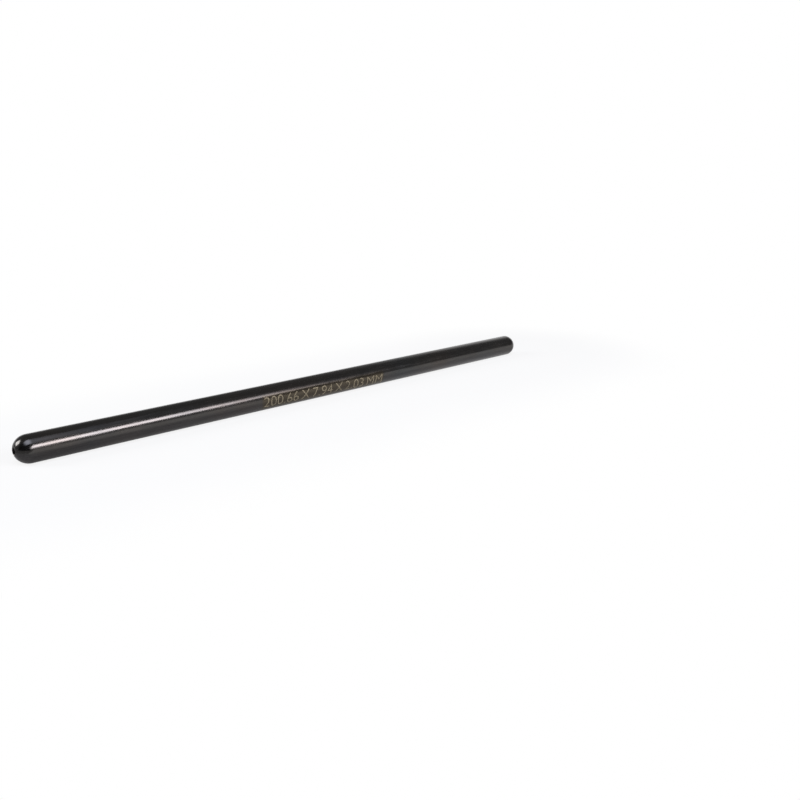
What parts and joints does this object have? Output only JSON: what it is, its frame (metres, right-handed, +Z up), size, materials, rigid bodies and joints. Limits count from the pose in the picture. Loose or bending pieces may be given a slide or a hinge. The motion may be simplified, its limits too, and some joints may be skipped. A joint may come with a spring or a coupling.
{
  "type": "engine pushrod",
  "caption": "Seamless engine pushrod: a thick-walled black steel tube closed at each end to a drilled ball tip, carrying valve motion and oil from lifter to rocker.",
  "frame": {"origin": "on the rod's axis, at the middle of its length", "axes": "X along the rod's axis, from the lifter end at -X to the rocker end at +X; Z up as the rod lies"},
  "size_m": [0.2006, 0.008, 0.008],
  "materials": {
    "black_oxide_steel": "ground and black oxide coated, with a soft gloss"
  },
  "bodies": {
    "root": {"pushrod": "black_oxide_steel"}
  },
  "joints": []
}
